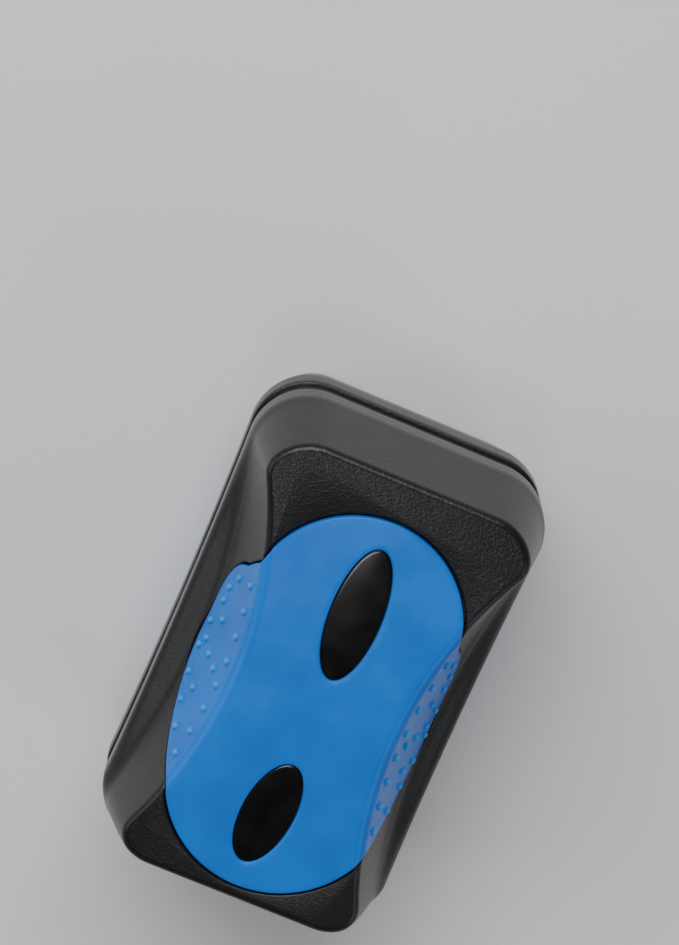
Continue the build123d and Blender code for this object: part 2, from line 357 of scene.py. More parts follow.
def on_skin(ys, s):
    """The place on the cover's surface at y and signed distance s across it."""
    table_s, table_x, table_z = section_table(ys)
    distance = np.abs(s)
    x = along(table_s, table_x, distance) * np.where(s < 0, -1, 1)
    return np.stack([x, ys, along(table_s, table_z, distance)], axis=1)


def skin_points(flat, heights):
    """Places in space for points (y, s), lifted off the surface by their heights."""
    ys, s = flat[:, 0], flat[:, 1]
    step = 0.05
    along_y = on_skin(ys + step, s) - on_skin(ys - step, s)
    across = on_skin(ys, s + step) - on_skin(ys, s - step)
    normal = np.cross(across, along_y)
    normal /= np.linalg.norm(normal, axis=1)[:, None]
    return on_skin(ys, s) + normal * np.asarray(heights)[:, None]


def measured(loop):
    """A loop with its first point again at its end, and the distance along it to each point."""
    closed = np.vstack([loop, loop[:1]])
    steps = np.linalg.norm(np.diff(closed, axis=0), axis=1)
    return closed, np.concatenate([[0], np.cumsum(steps)])


def evenly_counted(loop, count):
    """A closed loop's points again, evenly spaced and as many as asked for."""
    closed, length = measured(loop)
    wanted = np.linspace(0, length[-1], count + 1)[:-1]
    return np.stack([np.interp(wanted, length, closed[:, k]) for k in (0, 1)], axis=1)


def evenly(loop, pitch):
    """A closed loop's points again, about a pitch apart."""
    _, length = measured(loop)
    return evenly_counted(loop, max(int(length[-1] / pitch), 8))


def softened(loop, rounds):
    """A closed loop with its corners eased."""
    for _ in range(rounds):
        loop = (np.roll(loop, 1, axis=0) + 2 * loop + np.roll(loop, -1, axis=0)) / 4
    return loop


def moved_in(loop, distance):
    """A loop moved to its inside (outside where negative); it runs with its inside on the left."""
    ahead = np.roll(loop, -1, axis=0) - np.roll(loop, 1, axis=0)
    ahead /= np.linalg.norm(ahead, axis=1)[:, None]
    return loop + np.stack([-ahead[:, 1], ahead[:, 0]], axis=1) * distance


def plan_half_width(ys):
    """Half width at y of the cover's outline from above, whose ends are round."""
    big = np.sqrt(np.maximum(BIG_END_RADIUS**2 - np.maximum(ys - BIG_END_Y, 0) ** 2, 0))
    small = np.sqrt(np.maximum(SMALL_END_RADIUS**2 - np.minimum(ys - SMALL_END_Y, 0) ** 2, 0))
    return np.where(ys > (BIG_END_Y + SMALL_END_Y) / 2, big, small)


def panel_drop(ys):
    """How far below the housing's top a thumb panel reaches at y; its shoulder runs softly into its arc."""
    large = np.sqrt(np.maximum(PANEL_RADIUS**2 - (ys - PANEL_Y) ** 2, 0)) - (PANEL_RADIUS - PANEL_DEPTH)
    square = SHOULDER_RADIUS**2 - (ys - SHOULDER_Y) ** 2
    shoulder = SHOULDER_DEPTH + np.sign(square) * np.sqrt(np.abs(square))
    fill = np.maximum(SHOULDER_BLEND - np.abs(large - shoulder), 0)
    return np.maximum(large, shoulder) + fill**2 / (4 * SHOULDER_BLEND)


def cover_boundary():
    """The cover's edge as a loop of (y, s): two round ends and the two thumb panels' arcs."""
    low, high = SMALL_END_Y - SMALL_END_RADIUS, BIG_END_Y + BIG_END_RADIUS
    middle, half = (low + high) / 2, (high - low) / 2
    ys = middle + half * np.cos(np.linspace(0, math.pi, BOUNDARY_STEPS))
    table_s, table_x, _ = section_table(ys)
    by_plan = along(table_x, table_s, np.minimum(plan_half_width(ys), PLAN_LIMIT))
    drop = panel_drop(ys)
    by_panel = at_depth(ys, np.maximum(drop, 0))
    s = np.where(drop > 0, np.maximum(by_plan, by_panel), by_plan)
    right = np.stack([ys, s], axis=1)
    left = np.stack([ys, -s], axis=1)[::-1][1:-1]
    return softened(evenly(np.vstack([right, left]), BOUNDARY_PITCH), BOUNDARY_EASE)


def oval_loop(size, grow, pitch):
    """An oval window's edge as a loop of (y, s), grown outwards."""
    centre_y, half_length, turn = size
    angles = np.linspace(0, 2 * math.pi, 240, endpoint=False)
    x = (OVAL_HALF_WIDTH + grow) * np.cos(angles)
    y = (half_length + grow) * np.sin(angles)
    cos, sin = math.cos(math.radians(turn)), math.sin(math.radians(turn))
    return evenly(np.stack([centre_y + x * sin + y * cos, x * cos - y * sin], axis=1), pitch)


def inside_loop(points, loop):
    """Which points (y, s) lie inside a closed loop."""
    inside = np.zeros(len(points), bool)
    py, px = points[:, 0], points[:, 1]
    for (ay, ax), (by, bx) in zip(loop, np.roll(loop, -1, axis=0)):
        crosses = (ay > py) != (by > py)
        if ay != by:
            inside ^= crosses & (px < (bx - ax) * (py - ay) / (by - ay) + ax)
    return inside


def clear_of(points, loop, distance):
    """Which points are more than a distance away from a loop's points, worked out a batch at a time."""
    batch = 4000
    keep = np.ones(len(points), bool)
    for start in range(0, len(points), batch):
        some = points[start:start + batch]
        gaps = np.linalg.norm(some[:, None, :] - loop[None, :, :], axis=2)
        keep[start:start + batch] = gaps.min(axis=1) > distance
    return keep


def dot_places():
    """Where the raised dots are, as (y, s) on the right thumb panel."""
    places = []
    for count, pitch, middle, depth in DOT_ROWS:
        places += [(middle + (i - (count - 1) / 2) * pitch, depth) for i in range(count)]
    reach = PANEL_RADIUS - ARC_ROW_INSET
    for i in range(ARC_ROW_COUNT):
        turn = math.radians(ARC_ROW_START + i * ARC_ROW_STEP)
        places.append((PANEL_Y + reach * math.sin(turn), reach * math.cos(turn) - PANEL_RADIUS + PANEL_DEPTH))
    reach = SHOULDER_RADIUS - SHOULDER_INSET
    for degrees in SHOULDER_TURNS:
        turn = math.radians(degrees)
        places.append((SHOULDER_Y + reach * math.sin(turn), SHOULDER_DEPTH + reach * math.cos(turn)))
    ys, depths = np.array(places).T
    return np.stack([ys, at_depth(ys, depths)], axis=1)


def field_points(boundary, pitch):
    """Points all over the cover, close together across the crease."""
    rows = []
    ys = np.arange(boundary[:, 0].min() + pitch / 2, boundary[:, 0].max(), pitch)
    table_s, _, _ = section_table(ys)
    for i, y in enumerate(ys):
        flat_end, wall_start, wall_end = table_s[i, 1], table_s[i, RIM_STEPS], table_s[i, -1]
        across = [
            np.arange(pitch / 2, flat_end - pitch / 2, pitch),
            np.linspace(flat_end, wall_start, 12),
            np.arange(wall_start + pitch * 0.8, wall_end, pitch),
        ]
        for s in np.concatenate(across):
            rows.append((y, s))
            rows.append((y, -s))
    return np.array(rows)


def inside_edges(points, boundary, holes):
    """Which points lie inside the outside edge and in none of the holes."""
    keep = inside_loop(points, boundary)
    for hole in holes:
        keep &= ~inside_loop(points, hole)
    return keep


def inner_points(loops, dots, pitch, holes):
    """The field's points that lie on the skin, clear of its loops and its dots."""
    field = field_points(loops[0][0], pitch)
    keep = inside_edges(field, loops[0][0], holes)
    for loop in loops:
        keep &= clear_of(field, loop[0], 0.3 * pitch)
    for dot in dots:
        keep &= np.linalg.norm(field - dot, axis=1) > DOT_PROFILE[0][0] + DOT_CLEARANCE
    return field[keep]


def dot_rings(dot):
    """One raised dot's rings of points from its foot to its crown, each with its height."""
    around = np.linspace(0, 2 * math.pi, DOT_SIDES, endpoint=False)
    circle = np.stack([np.cos(around), np.sin(around)], axis=1)
    rings = [(dot + radius * circle, height) for radius, height in DOT_PROFILE]
    return rings + [(dot[None, :], DOT_HEIGHT)]


def two_sided(upper, lower, triangles):
    """A closed solid between two sheets of points that share their triangles, and which points it uses."""
    total = len(upper)
    first = upper[triangles[0]]
    if np.cross(first[1] - first[0], first[2] - first[0])[2] < 0:
        triangles = triangles[:, ::-1]
    faces = [tuple(t) for t in triangles] + [tuple(t[::-1] + total) for t in triangles]
    edges = {}
    for a, b, c in triangles:
        for edge in ((a, b), (b, c), (c, a)):
            edges[edge] = True
    for a, b in edges:
        if (b, a) not in edges:
            faces.append((b, a, a + total, b + total))
    used = np.unique(np.concatenate([np.array(face) for face in faces]))
    renumber = np.full(2 * total, -1)
    renumber[used] = np.arange(len(used))
    return np.vstack([upper, lower])[used], [tuple(renumber[list(face)]) for face in faces], used


def skin_solid(loops, dots, pitch, thickness, holes):
    """A closed skin over the surface: its points and faces, and how far each of its points is raised.

    loops are (points, height) or (points, height, underside), the outside edge's from the edge inwards and
    then each window's from its edge outwards. holes are the windows' edges, and dots are the dots' places.
    """
    inner = inner_points(loops, dots, pitch, holes)
    flat, heights, undersides, edges = [inner], [np.zeros(len(inner))], [np.full(len(inner), -thickness)], []
    count = len(inner)
    for loop, height, *underside in loops:
        flat.append(loop)
        heights.append(np.full(len(loop), height))
        undersides.append(np.full(len(loop), underside[0] if underside else -thickness))
        edges += [(count + i, count + (i + 1) % len(loop)) for i in range(len(loop))]
        count += len(loop)
    for dot in dots:
        for ring, height in dot_rings(dot):
            flat.append(ring)
            heights.append(np.full(len(ring), height))
    flat, heights = np.vstack(flat), np.concatenate(heights)
    undersides = np.concatenate([*undersides, np.full(len(flat) - count, -thickness)])
    made = delaunay_2d_cdt([Vector(p) for p in flat], edges, [], 0, 1e-7)
    places = np.array([tuple(v) for v in made[0]])
    source = [ids[0] for ids in made[3]]
    heights, undersides = heights[source], undersides[source]
    triangles = np.array([face for face in made[2] if len(face) == 3])
    triangles = triangles[inside_edges(places[triangles].mean(axis=1), loops[0][0], holes)]
    upper, lower = skin_points(places, heights), skin_points(places, undersides)
    points, faces, used = two_sided(upper, lower, triangles)
    return points, faces, np.concatenate([heights, np.zeros(len(lower))])[used]


def rounding(radius, steps):
    """Distances in from an edge, and how far the surface has dropped there, for a rounded edge."""
    pairs = []
    for turn in np.linspace(0, math.pi / 2, steps):
        pairs.append((radius * (1 - math.cos(turn)), -radius * (1 - math.sin(turn))))
    return pairs


def make_cover_solid():
    """The grip cover with its rounded edge, window lips and raised dots."""
    boundary = cover_boundary()
    loops = [(moved_in(boundary, d), h) for d, h in rounding(COVER_EDGE, 5)]
    holes = [oval_loop(size, 0, WINDOW_PITCH) for size in OVALS.values()]
    for size in OVALS.values():
        loops += [(oval_loop(size, d, WINDOW_PITCH), h) for d, h in rounding(WINDOW_EDGE, 5)]
    right = dot_places()
    dots = list(right) + [np.array((y, -s)) for y, s in right]
    return skin_solid(loops, dots, COVER_PITCH, SUNK + PROUD, holes)


def make_recess_solid():
    """What is cut out of the housing: the cover's place and the narrow groove around it."""
    boundary = moved_in(cover_boundary(), -GROOVE)
    return skin_solid([(boundary, CUTTER_PROUD)], [], CUTTER_PITCH, SUNK + PROUD, [])


def make_lip_solid():
    """What is cut off the groove's outer edge, so that the housing rolls into it."""
    boundary = cover_boundary()
    loops = []
    for turn in np.linspace(0, math.pi / 2, 5):
        grow = GROOVE + LIP * (1 - math.sin(turn))
        underside = -PROUD + LIP_SPARE - LIP * (1 - math.cos(turn))
        loops.append((moved_in(boundary, -grow), CUTTER_PROUD, underside))
    return skin_solid(loops, [], CUTTER_PITCH, PROUD + LIP + 0.1, [])


# ---- inlays, pads, foam

def make_inlay_solid(size):
    """An oval plug with a softly rounded edge and a slightly crowned top, a little below the cover's."""
    rim = TOP_Z + PROUD - INLAY_SUNK
    steps = [(-FIT, TOP_Z - SUNK), (-FIT, rim - INLAY_EDGE - 0.1)]
    for inset, drop in rounding(INLAY_EDGE, 5):
        steps.append((-FIT - inset, rim + drop))
    for inner in np.linspace(0.5, INLAY_REACH, 9):
        crown = INLAY_CROWN * (1 - (1 - inner / INLAY_REACH) ** 2)
        steps.append((-FIT - INLAY_EDGE - inner, rim + crown))
    count = len(oval_loop(size, 0, 0.4))
    rings = []
    for grow, z in steps:
        loop = evenly_counted(oval_loop(size, grow, 0.15), count)
        rings.append([(s, y, z) for y, s in loop[::-1]])
    return ring_solid(rings)


def pad_outline(inset, z):
    """The pads' rounded outline at height z, moved in by inset."""
    width, length = 2 * FELT_HIGH.x - 2 * inset, 2 * FELT_HIGH.y - 2 * inset
    return plain_outline(width, length, max(PAD_CORNER - inset, 0.02), z)[::-1]


def make_pad_solid(low, high, edge, lumps):
    """A sheet of felt or scrubbing material with soft edges and a slightly uneven working face at low."""
    rings = [pad_outline(reach * FELT_HIGH.x, low) for reach in np.linspace(0.97, 0.03, 26)]
    for turn in np.linspace(0, math.pi / 2, 5):
        rings.append(pad_outline(edge * (1 - math.sin(turn)), low + edge * (1 - math.cos(turn))))
    rings += [pad_outline(0, z) for z in np.linspace(low + edge, high - PAD_BEVEL, 7)[1:]]
    rings.append(pad_outline(PAD_BEVEL, high))
    points, faces = ring_solid(rings)
    uneven = []
    # The working face is lumpy, and the sides are drawn in a little, more at some places than at others
    for x, y, z in points:
        rise = lumps * (1 + noise.noise(Vector((x, y, z)) * 0.9)) if z < high - 0.01 else 0
        pull = 1 - 0.16 * lumps * (1 + noise.noise(Vector((x, y, 3 * z)) * 1.7)) / 3
        uneven.append((x * pull, y * pull, min(z + rise * (1 - (z - low) / (high - low)), high)))
    return uneven, faces


def tube(path, radius, sides):
    """A thin tapering tube along a few points, for a fibre or a hook."""
    points, faces = [], []
    path = [Vector(p) for p in path]
    for k, place in enumerate(path):
        ahead = (path[min(k + 1, len(path) - 1)] - path[max(k - 1, 0)]).normalized()
        one = ahead.orthogonal().normalized()
        two = ahead.cross(one)
        thick = radius * (1 - 0.45 * k / (len(path) - 1))
        for i in range(sides):
            turn = 2 * math.pi * i / sides
            points.append(place + (one * math.cos(turn) + two * math.sin(turn)) * thick)
    for k in range(len(path) - 1):
        faces += bridge(k * sides, (k + 1) * sides, sides)
    faces.append(tuple(reversed(range(sides))))
    faces.append(tuple(range((len(path) - 1) * sides, len(path) * sides)))
    return points, faces


def rounded_box_edge(share, width, length, corner):
    """A place on a rounded rectangle's edge and the way out from it, at a share of the way round."""
    half_width, half_length = width / 2 - corner, length / 2 - corner
    runs = [2 * half_width, math.pi * corner / 2, 2 * half_length, math.pi * corner / 2] * 2
    at = share * sum(runs)
    signs = ((1, 1), (1, -1), (-1, -1), (-1, 1))
    corners = [(x * half_width, y * half_length) for x, y in signs]
    for k in range(8):
        if at <= runs[k] or k == 7:
            break
        at -= runs[k]
    turn = math.pi / 2 - (k // 2) * math.pi / 2
    centre = corners[k // 2]
    if k % 2:
        turn -= at / corner
        return (centre[0] + corner * math.cos(turn), centre[1] + corner * math.sin(turn)), turn
    start = corners[k // 2 - 1]
    share_along = at / runs[k]
    x = start[0] + (centre[0] - start[0]) * share_along + corner * math.cos(turn)
    y = start[1] + (centre[1] - start[1]) * share_along + corner * math.sin(turn)
    return (x, y), turn


def make_fuzz(rng, z_low, z_high):
    """Loose fibre ends that stand out of a felt pad's side."""
    width, length = 2 * (FELT_HIGH.x - PAD_BEVEL), 2 * (FELT_HIGH.y - PAD_BEVEL)
    parts = []
    for _ in range(FIBRE_COUNT):
        (x, y), heading = rounded_box_edge(rng.random(), width, length, PAD_CORNER - PAD_BEVEL)
        heading += rng.uniform(-0.9, 0.9)
        z = rng.uniform(z_low + 0.15, z_high - 0.15)
        path = [(x, y, z)]
        tilt = rng.uniform(-0.5, 0.5)
        step = rng.uniform(0.35, 1.0) * FIBRE_REACH / FIBRE_BENDS
        for _ in range(FIBRE_BENDS):
            heading += rng.uniform(-0.7, 0.7)
            x += step * math.cos(heading)
            y += step * math.sin(heading)
            z = min(max(z + step * tilt, z_low + 0.05), z_high - 0.05)
            path.append((x, y, z))
        parts.append(tube(path, FIBRE_RADIUS, 3))
    return joined(parts)


def hook_path(x, y, base_z, height, heading):
    """The middle line of one hook: a straight stem, and a bend over towards its heading."""
    bend_z = base_z + height - HOOK_BEND
    path = [(x, y, base_z - 0.1), (x, y, bend_z)]
    for turn in (0.9, 1.8, 2.7, 3.5):
        away = HOOK_BEND * (1 - math.cos(turn))
        rise = bend_z + HOOK_BEND * math.sin(turn)
        path.append((x + away * math.cos(heading), y + away * math.sin(heading), rise))
    return path


def make_hooks(rng, base_z, tip_z):
    """Rows of small bent hooks that stand on the scrub pad's backing and stop short of tip_z."""
    width, length = 2 * (FELT_HIGH.x - HOOK_MARGIN), 2 * (FELT_HIGH.y - HOOK_MARGIN)
    columns, rows = int(width / HOOK_PITCH), int(length / HOOK_PITCH)
    parts = []
    for i in range(columns + 1):
        for j in range(rows + 1):
            x = -width / 2 + i * width / columns
            y = -length / 2 + j * length / rows
            over_x, over_y = abs(x) - (width / 2 - HOOK_CORNER), abs(y) - (length / 2 - HOOK_CORNER)
            if over_x > 0 and over_y > 0 and math.hypot(over_x, over_y) > HOOK_CORNER:
                continue
            x += rng.uniform(-0.12, 0.12)
            y += rng.uniform(-0.12, 0.12)
            heading = (math.pi / 2 if (i + j) % 2 else -math.pi / 2) + rng.uniform(-0.35, 0.35)
            height = (tip_z - base_z) * rng.uniform(0.9, 1.0) - 0.12
            parts.append(tube(hook_path(x, y, base_z, height, heading), HOOK_RADIUS, 4))
    return joined(parts)


def make_foam_solid(half):
    """The foam block in the shell's dome, with soft edges."""
    low, high = (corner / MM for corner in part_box(FOAM_NODES[half]))
    floor, ceiling = (low.z, high.z) if half == "outer" else (-high.z, -low.z)
    wall = SHELL_WALL + FOAM_GAP
    softness = rounding(FOAM_EDGE, 4)
    rings = [outline(floor - drop, wall + inset) for inset, drop in reversed(softness)]
    rings += [outline(z, wall) for z in np.linspace(floor + FOAM_EDGE, ceiling - FOAM_EDGE, 14)[1:]]
    rings += [outline(ceiling + drop, wall + inset) for inset, drop in softness[1:]]
    return ring_solid([ring[::-1] for ring in rings])


# ---- materials

def scaled(colour, factor):
    """A colour made darker or brighter."""
    return tuple(channel * factor for channel in colour)


class Nodes:
    """A material being wired up."""

    def __init__(self, name, colour, roughness, metallic=0.0, **settings):
        self.material = bpy.data.materials.new(name)
        self.material.use_nodes = True
        self.tree = self.material.node_tree
        self.shader = self.tree.nodes["Principled BSDF"]
        self.shader.inputs["Base Color"].default_value = (*colour, 1)
        self.shader.inputs["Roughness"].default_value = roughness
        self.shader.inputs["Metallic"].default_value = metallic
        for setting, value in settings.items():
            self.shader.inputs[setting.replace("_", " ")].default_value = value
        self.place = self.add("ShaderNodeTexCoord").outputs["Object"]
        self.bumped = None

    def add(self, kind, **settings):
        """A new node with its settings."""
        node = self.tree.nodes.new(kind)
        for setting, value in settings.items():
            setattr(node, setting, value)
        return node

    def link(self, source, target):
        """A wire from one socket to another."""
        self.tree.links.new(source, target)

    def stretched(self, scale):
        """The object's coordinates scaled along each axis, for a texture that runs one way."""
        mapping = self.add("ShaderNodeMapping")
        mapping.inputs["Scale"].default_value = scale
        self.link(self.place, mapping.inputs["Vector"])
        return mapping.outputs["Vector"]

    def noise(self, size_mm, detail=2.0, roughness=0.5, place=None):
        """A soft noise whose features are about size_mm across."""
        node = self.add("ShaderNodeTexNoise")
        node.inputs["Scale"].default_value = 1000 / size_mm
        node.inputs["Detail"].default_value = detail
        node.inputs["Roughness"].default_value = roughness
        self.link(place or self.place, node.inputs["Vector"])
        return node.outputs["Fac"]

    def cells(self, size_mm, smooth=None):
        """Distance from the middle of cells about size_mm across, which run together if smooth is given."""
        node = self.add("ShaderNodeTexVoronoi", feature="SMOOTH_F1" if smooth else "F1")
        node.inputs["Scale"].default_value = 1000 / size_mm
        if smooth:
            node.inputs["Smoothness"].default_value = smooth
        self.link(self.place, node.inputs["Vector"])
        return node.outputs["Distance"]

    def ramp(self, source, low, high, to_low, to_high):
        """A value mapped from one range to another."""
        node = self.add("ShaderNodeMapRange")
        for name, value in (("From Min", low), ("From Max", high), ("To Min", to_low), ("To Max", to_high)):
            node.inputs[name].default_value = value
        self.link(source, node.inputs["Value"])
        return node.outputs["Result"]

    def shades(self, source, stops):
        """Colours along a value: (position, colour) pairs."""
        node = self.add("ShaderNodeValToRGB")
        band = node.color_ramp
        while len(band.elements) < len(stops):
            band.elements.new(0.5)
        for element, (position, colour) in zip(band.elements, stops):
            element.position = position
            element.color = (*colour, 1)
        self.link(source, node.inputs["Fac"])
        return node.outputs["Color"]

    def mottled(self, source, colour, dark, light, low=0.3, high=0.7):
        """One colour's shades along a value, from a darker factor at low to a lighter one at high."""
        return self.shades(source, [(low, scaled(colour, dark)), (high, scaled(colour, light))])

    def blended(self, share, first, second):
        """Two colours mixed by a share."""
        node = self.add("ShaderNodeMix", data_type="RGBA")
        self.link(share, node.inputs["Factor"])
        for socket, colour in ((node.inputs[6], first), (node.inputs[7], second)):
            if isinstance(colour, tuple):
                socket.default_value = (*colour, 1)
            else:
                self.link(colour, socket)
        return node.outputs[2]

    def colour(self, source):
        """What the base colour follows."""
        self.link(source, self.shader.inputs["Base Color"])

    def roughness(self, source):
        """What the roughness follows."""
        self.link(source, self.shader.inputs["Roughness"])

    def bump(self, height, depth_mm, strength):
        """One more layer of relief."""
        node = self.add("ShaderNodeBump")
        node.inputs["Strength"].default_value = strength
        node.inputs["Distance"].default_value = depth_mm * MM
        self.link(height, node.inputs["Height"])
        if self.bumped:
            self.link(self.bumped, node.inputs["Normal"])
        self.bumped = node.outputs["Normal"]
        self.link(self.bumped, self.shader.inputs["Normal"])


def housing_plastic():
    """Black moulded plastic with a fine leathery spark-eroded grain."""
    black = (0.0075, 0.0078, 0.0088)
    m = Nodes("housing_grained_black", black, 0.32, Specular_IOR_Level=0.34)
    grain = m.cells(0.58, 0.5)
    fine = m.noise(0.32, 3.0, 0.6)
    cloud = m.noise(9.0, 3.0)
    dust = m.ramp(m.noise(0.6, 1.0), 0.72, 0.8, 0.0, 0.3)
    m.colour(m.blended(dust, m.mottled(cloud, black, 0.8, 1.3), (0.04, 0.041, 0.045)))
    m.roughness(m.ramp(fine, 0.3, 0.7, 0.26, 0.4))
    m.bump(grain, 0.045, 0.7)
    m.bump(fine, 0.022, 0.6)
    return m.material


def grip_rubber():
    """Satin blue rubber, faintly cloudy and very finely textured, with a painted highlight that makes its
    raised dots' tops paler.
    """
    blue = (0.0002, 0.15, 0.62)
    m = Nodes("grip_blue_rubber", blue, 0.28, Specular_IOR_Level=0.2)
    cloud = m.noise(11.0, 2.0)
    pores = m.noise(0.35, 2.0, 0.6)
    tone = m.shades(cloud, [(0.34, (0.0001, 0.138, 0.58)), (0.66, (0.0004, 0.164, 0.66))])
    speck = m.ramp(m.noise(0.5, 1.0), 0.74, 0.82, 0.0, 0.2)
    raised = m.add("ShaderNodeAttribute", attribute_name="raised").outputs["Fac"]
    # painted highlight: the dots' tops are painted a paler blue, for the light they catch
    painted_dot_highlight = m.ramp(raised, 0.15, 0.95, 0.0, 0.7)
    m.colour(m.blended(painted_dot_highlight, m.blended(speck, tone, (0.03, 0.25, 0.7)), (0.03, 0.36, 0.82)))
    m.roughness(m.ramp(m.noise(12.0, 2.0), 0.3, 0.7, 0.26, 0.32))
    m.bump(m.noise(9.0, 1.0), 0.05, 0.5)
    m.bump(pores, 0.012, 0.5)
    return m.material


def inlay_plastic():
    """Smooth black plastic with a very fine texture and a trace of handling haze."""
    black = (0.0045, 0.0045, 0.005)
    m = Nodes("inlay_smooth_black", black, 0.13, Specular_IOR_Level=0.3)
    haze = m.noise(5.0, 2.0)
    fine = m.noise(0.4, 3.0, 0.6)
    m.colour(m.mottled(haze, black, 0.85, 1.5, low=0.35))
    m.roughness(m.ramp(haze, 0.3, 0.7, 0.11, 0.15))
    m.bump(fine, 0.008, 0.5)
    return m.material


def plate_plastic():
    """Plain moulded black plastic with faint flow marks."""
    black = (0.016, 0.016, 0.018)
    m = Nodes("plate_moulded_black", black, 0.5)
    flow = m.noise(5.0, 3.0, 0.5, m.stretched((1, 0.25, 1)))
    fine = m.noise(0.35, 3.0, 0.6)
    m.colour(m.mottled(flow, black, 0.8, 1.3))
    m.roughness(m.ramp(flow, 0.3, 0.7, 0.42, 0.58))
    m.bump(fine, 0.02, 0.5)
    return m.material


def screw_steel():
    """Stainless steel with turning marks."""
    m = Nodes("screw_stainless", (0.6, 0.6, 0.58), 0.3, 1.0)
    marks = m.noise(0.15, 2.0, 0.5, m.stretched((1, 1, 6)))
    tarnish = m.noise(1.6, 3.0)
    m.colour(m.shades(tarnish, [(0.3, (0.5, 0.5, 0.48)), (0.7, (0.66, 0.66, 0.64))]))
    m.roughness(m.ramp(marks, 0.3, 0.7, 0.2, 0.42))
    m.bump(marks, 0.01, 0.5)
    return m.material


def ferrite_ceramic():
    """Dark grey sintered magnet, ground flat, with pores and lighter scratches."""
    grey = (0.045, 0.045, 0.05)
    m = Nodes("magnet_ferrite", grey, 0.55)
    pores = m.cells(0.7)
    ground = m.noise(0.4, 2.0, 0.5, m.stretched((1, 0.06, 1)))
    cloud = m.noise(4.0, 4.0, 0.6)
    m.colour(m.mottled(cloud, grey, 0.75, 1.7, high=0.75))
    m.roughness(m.ramp(ground, 0.3, 0.7, 0.42, 0.66))
    m.bump(m.ramp(pores, 0.0, 0.18, 0.0, 1.0), 0.06, 0.6)
    m.bump(ground, 0.015, 0.5)
    return m.material


def zinc_steel():
    """Zinc-plated sheet steel with a faint spangle and rolling lines."""
    m = Nodes("yoke_zinc_steel", (0.55, 0.56, 0.58), 0.35, 1.0)
    spangle = m.cells(2.2)
    rolled = m.noise(0.5, 2.0, 0.5, m.stretched((1, 0.05, 1)))
    m.colour(m.shades(spangle, [(0.0, (0.46, 0.47, 0.49)), (0.7, (0.62, 0.63, 0.65))]))
    m.roughness(m.ramp(rolled, 0.3, 0.7, 0.24, 0.46))
    m.bump(rolled, 0.01, 0.5)
    return m.material


def tape_adhesive():
    """Black double-sided tape with trapped bubbles."""
    black = (0.025, 0.025, 0.027)
    m = Nodes("adhesive_tape", black, 0.5)
    bubbles = m.cells(2.6)
    cloud = m.noise(7.0, 3.0)
    m.colour(m.mottled(cloud, black, 0.8, 1.3))
    m.roughness(m.ramp(cloud, 0.3, 0.7, 0.4, 0.6))
    m.bump(m.ramp(bubbles, 0.0, 0.25, 1.0, 0.0), 0.03, 0.5)
    return m.material


def felt_cloth():
    """Charcoal needled felt: tangled fibres with lighter ones among them."""
    grey = (0.04, 0.04, 0.044)
    m = Nodes("felt_charcoal", grey, 0.95, Sheen_Weight=0.35, Sheen_Roughness=0.5)
    one_way = m.noise(0.5, 4.0, 0.7, m.stretched((1, 0.2, 1)))
    other_way = m.noise(0.5, 4.0, 0.7, m.stretched((0.22, 1, 1)))
    lumps = m.noise(3.0, 3.0)
    tone = m.shades(one_way, [(0.35, scaled(grey, 0.55)), (0.55, grey), (0.72, scaled(grey, 2.4))])
    m.colour(m.blended(m.ramp(other_way, 0.4, 0.7, 0.0, 0.8), tone, scaled(grey, 1.5)))
    m.roughness(m.ramp(lumps, 0.3, 0.7, 0.86, 1.0))
    m.bump(lumps, 0.15, 0.6)
    m.bump(one_way, 0.12, 0.8)
    m.bump(other_way, 0.1, 0.8)
    return m.material


def scrub_nylon():
    """Black nylon hooks and their woven backing."""
    black = (0.022, 0.022, 0.025)
    m = Nodes("scrub_nylon", black, 0.5)
    weave = m.add("ShaderNodeTexWave", wave_type="BANDS", bands_direction="X")
    weave.inputs["Scale"].default_value = 1000 / 3.0
    weave.inputs["Distortion"].default_value = 0.6
    m.link(m.place, weave.inputs["Vector"])
    fine = m.noise(0.2, 3.0, 0.6)
    m.colour(m.mottled(fine, black, 0.6, 1.8))
    m.roughness(m.ramp(fine, 0.3, 0.7, 0.38, 0.62))
    m.bump(weave.outputs["Fac"], 0.05, 0.5)
    m.bump(fine, 0.03, 0.5)
    return m.material


def foam_cells():
    """Off-white closed-cell foam."""
    m = Nodes("foam_closed_cell", (0.78, 0.78, 0.75), 0.85, Subsurface_Weight=0.1)
    cells = m.cells(0.9)
    cloud = m.noise(6.0, 2.0)
    m.colour(m.shades(cloud, [(0.3, (0.7, 0.7, 0.66)), (0.7, (0.82, 0.82, 0.79))]))
    m.roughness(m.ramp(cells, 0.0, 0.5, 0.75, 0.95))
    m.bump(m.ramp(cells, 0.0, 0.5, 0.0, 1.0), 0.12, 0.7)
    return m.material


def seal_rubber():
    """Black nitrile rubber with a talc haze."""
    black = (0.014, 0.014, 0.014)
    m = Nodes("seal_nitrile", black, 0.6)
    talc = m.noise(1.8, 4.0, 0.6)
    m.colour(m.shades(talc, [(0.4, black), (0.8, (0.06, 0.06, 0.06))]))
    m.roughness(m.ramp(talc, 0.3, 0.7, 0.5, 0.75))
    m.bump(m.noise(0.3, 2.0), 0.01, 0.5)
    return m.material


def floor_paint():
    """A plain pale studio surface with a trace of unevenness."""
    m = Nodes("studio_floor", (0.8, 0.8, 0.8), 0.9, Specular_IOR_Level=0.15)
    cloud = m.noise(60.0, 2.0)
    m.colour(m.shades(cloud, [(0.3, (0.785, 0.785, 0.785)), (0.7, (0.81, 0.81, 0.81))]))
    m.bump(m.noise(1.2, 3.0), 0.01, 0.3)
    return m.material


FINISHES = {
    "housing": housing_plastic(),
    "grip": grip_rubber(),
    "inlay": inlay_plastic(),
    "plate": plate_plastic(),
    "screws": screw_steel(),
    "ferrite": ferrite_ceramic(),
    "yoke": zinc_steel(),
    "adhesive": tape_adhesive(),
    "felt": felt_cloth(),
    "scrub": scrub_nylon(),
    "foam": foam_cells(),
    "seal": seal_rubber(),
}

